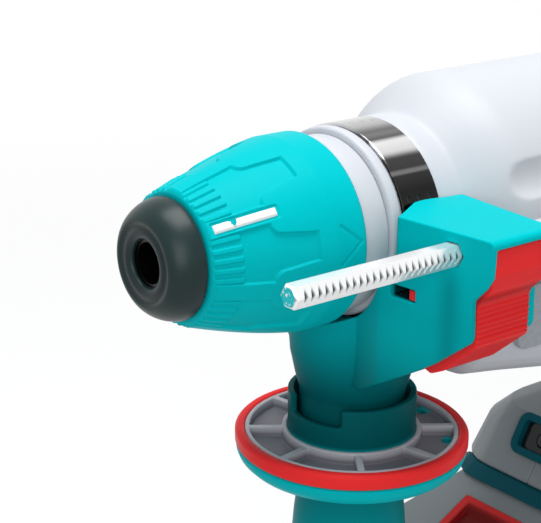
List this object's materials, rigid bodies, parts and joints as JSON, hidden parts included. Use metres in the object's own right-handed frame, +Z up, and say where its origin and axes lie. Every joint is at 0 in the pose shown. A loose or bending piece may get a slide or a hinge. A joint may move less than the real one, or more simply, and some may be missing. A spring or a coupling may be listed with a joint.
{
  "type": "cordless rotary hammer",
  "caption": "Cordless rotary hammer with a bit-locking sleeve, a clamped side handle with guard flange, a depth rod, a rear loop handle and a slide-in battery.",
  "frame": {"origin": "centre of the tool bore in the plane of the steel tool holder's front face", "axes": "+X forward along the spindle, out of the bore; +Z up; +Y to the side that carries the depth rod"},
  "size_m": [0.3223, 0.0973, 0.1951],
  "materials": {
    "pale_shell": "satin",
    "grey_shell": "satin",
    "teal_plastic": "satin",
    "dark_teal": "satin",
    "red_plastic": "satin",
    "dark_plastic": "satin",
    "flange_grey": "satin",
    "white_mark": "gloss",
    "soft_black": "satin",
    "soft_grey": "matt",
    "lens": "gloss",
    "board": "gloss",
    "cell_wrap": "satin",
    "chrome_band": "polished",
    "rod_metal": "polished",
    "tool_steel": "machined",
    "bearing_steel": "polished",
    "spring_steel": "drawn",
    "screw_steel": "blackened",
    "motor_iron": "laminated",
    "cast_aluminium": "cast"
  },
  "bodies": {
    "machine": {"gear_housing": "pale_shell", "nose_ring": "pale_shell", "sleeve_guide": "pale_shell", "oil_seal": "soft_black", "main_bearing": "bearing_steel", "lay_front_bearing": "bearing_steel", "bearing_plate": "cast_aluminium", "lay_rear_bearing": "bearing_steel", "motor_front_bearing": "bearing_steel", "motor_rear_bearing": "bearing_steel", "motor_stator": "motor_iron", "body_shell_left": "pale_shell", "body_shell_right": "pale_shell", "base_shell_left": "grey_shell", "base_shell_right": "grey_shell", "handle_grip": "soft_black", "side_pads": "soft_grey", "base_bumper": "soft_black", "light_bezel": "teal_plastic", "light_lens": "lens", "switch_body": "dark_plastic", "control_board": "board", "terminal_block": "dark_plastic", "case_screws": "screw_steel", "base_trim": "dark_teal"},
    "spindle": {"tool_holder": "tool_steel", "dust_cap": "soft_black", "locking_balls": "bearing_steel", "hammer_cylinder": "tool_steel", "cylinder_gear": "tool_steel", "sleeve_spring": "spring_steel"},
    "sleeve": {"locking_sleeve": "teal_plastic", "lock_ring": "tool_steel", "sleeve_mark": "white_mark"},
    "impact_bolt": {"impact_bolt": "tool_steel"},
    "striker": {"striker": "tool_steel"},
    "piston": {"piston": "cast_aluminium"},
    "piston_pin": {"piston_pin": "tool_steel"},
    "wobble_ring": {"wobble_ring": "tool_steel"},
    "layshaft": {"layshaft": "tool_steel", "driven_gear": "tool_steel"},
    "motor": {"motor_rotor": "motor_iron", "cooling_fan": "dark_plastic"},
    "mode_knob": {"mode_knob": "dark_plastic"},
    "trigger": {"trigger": "red_plastic"},
    "direction_lever": {"direction_lever": "dark_plastic"},
    "battery": {"battery_case": "grey_shell", "battery_base": "dark_plastic", "battery_cells": "cell_wrap"},
    "release_button": {"release_button": "red_plastic"},
    "side_handle": {"clamp_band": "chrome_band", "clamp_block": "teal_plastic", "depth_spring": "spring_steel"},
    "depth_rod": {"depth_rod": "rod_metal"},
    "depth_button": {"depth_button": "red_plastic"},
    "clamp_bolt": {"clamp_bolt": "screw_steel"},
    "grip": {"guard_flange": "flange_grey", "guard_ring": "red_plastic", "side_grip": "teal_plastic", "grip_nut": "screw_steel"}
  },
  "joints": [
    {"name": "spindle_turn", "type": "hinge", "parent": "machine", "child": "spindle", "pos_m": [0, 0, 0], "axis": [1, 0, 0], "continuous": true},
    {"name": "sleeve_pull", "type": "slide", "parent": "spindle", "child": "sleeve", "axis": [-1, 0, 0], "range_m": [0, 0.0075], "stiffness_N_per_m": 900, "springref_m": -0.004, "deforming": ["sleeve_spring"]},
    {"name": "impact_bolt_slide", "type": "slide", "parent": "spindle", "child": "impact_bolt", "axis": [1, 0, 0], "range_m": [-0.0028, 0.0009]},
    {"name": "striker_slide", "type": "slide", "parent": "machine", "child": "striker", "axis": [1, 0, 0], "range_m": [-0.003, 0.006]},
    {"name": "wobble_rock", "type": "hinge", "parent": "machine", "child": "wobble_ring", "pos_m": [-0.1396, 0, -0.03], "axis": [0, 1, 0], "range_deg": [-13.4, 13.4]},
    {"name": "piston_stroke", "type": "slide", "parent": "machine", "child": "piston", "axis": [1, 0, 0], "range_m": [-0.00702, 0.00702]},
    {"name": "pin_turn", "type": "hinge", "parent": "piston", "child": "piston_pin", "pos_m": [-0.1396, 0, 0], "axis": [0, 1, 0], "range_deg": [-13.5, 13.5]},
    {"name": "layshaft_turn", "type": "hinge", "parent": "machine", "child": "layshaft", "pos_m": [0, 0, -0.03], "axis": [1, 0, 0], "continuous": true},
    {"name": "motor_turn", "type": "hinge", "parent": "machine", "child": "motor", "pos_m": [0, 0, -0.008], "axis": [1, 0, 0], "continuous": true},
    {"name": "mode_turn", "type": "hinge", "parent": "machine", "child": "mode_knob", "pos_m": [-0.1311, -0.034, 0], "axis": [0, -1, 0], "range_deg": [-90, 90]},
    {"name": "trigger_pull", "type": "slide", "parent": "machine", "child": "trigger", "axis": [-1, 0, 0], "range_m": [0, 0.006], "stiffness_N_per_m": 700, "springref_m": -0.003},
    {"name": "direction_push", "type": "slide", "parent": "machine", "child": "direction_lever", "axis": [0, 1, 0], "range_m": [-0.003, 0.003]},
    {"name": "battery_slide", "type": "slide", "parent": "machine", "child": "battery", "axis": [1, 0, 0], "range_m": [0, 0.015]},
    {"name": "release_press", "type": "slide", "parent": "battery", "child": "release_button", "axis": [0, 0, -1], "range_m": [0, 0.003], "stiffness_N_per_m": 800, "springref_m": -0.002},
    {"name": "side_handle_turn", "type": "hinge", "parent": "machine", "child": "side_handle", "pos_m": [-0.06355, 0, 0], "axis": [1, 0, 0], "range_deg": [-20, 150]},
    {"name": "depth_slide", "type": "slide", "parent": "side_handle", "child": "depth_rod", "axis": [1, 0, 0], "range_m": [-0.045, 0.085]},
    {"name": "depth_press", "type": "slide", "parent": "side_handle", "child": "depth_button", "axis": [0, -1, 0], "range_m": [0, 0.0045], "stiffness_N_per_m": 500, "springref_m": -0.002, "deforming": ["depth_spring"]},
    {"name": "grip_twist", "type": "hinge", "parent": "side_handle", "child": "grip", "pos_m": [-0.06355, 0, -0.1], "axis": [0, 0, 1], "range_deg": [-180, 180]},
    {"name": "bolt_draw", "type": "slide", "parent": "side_handle", "child": "clamp_bolt", "axis": [0, 0, -1], "range_m": [-0.00064, 0.00064]}
  ],
  "couplings": [
    {"joint": "layshaft_turn", "follows": "spindle_turn", "ratio": -3},
    {"joint": "motor_turn", "follows": "spindle_turn", "ratio": 11.667},
    {"joint": "wobble_rock", "follows": "piston_stroke", "rad_per_m": 33.333},
    {"joint": "pin_turn", "follows": "piston_stroke", "rad_per_m": 33.333},
    {"joint": "bolt_draw", "follows": "grip_twist", "m_per_rad": 0.00019894}
  ]
}
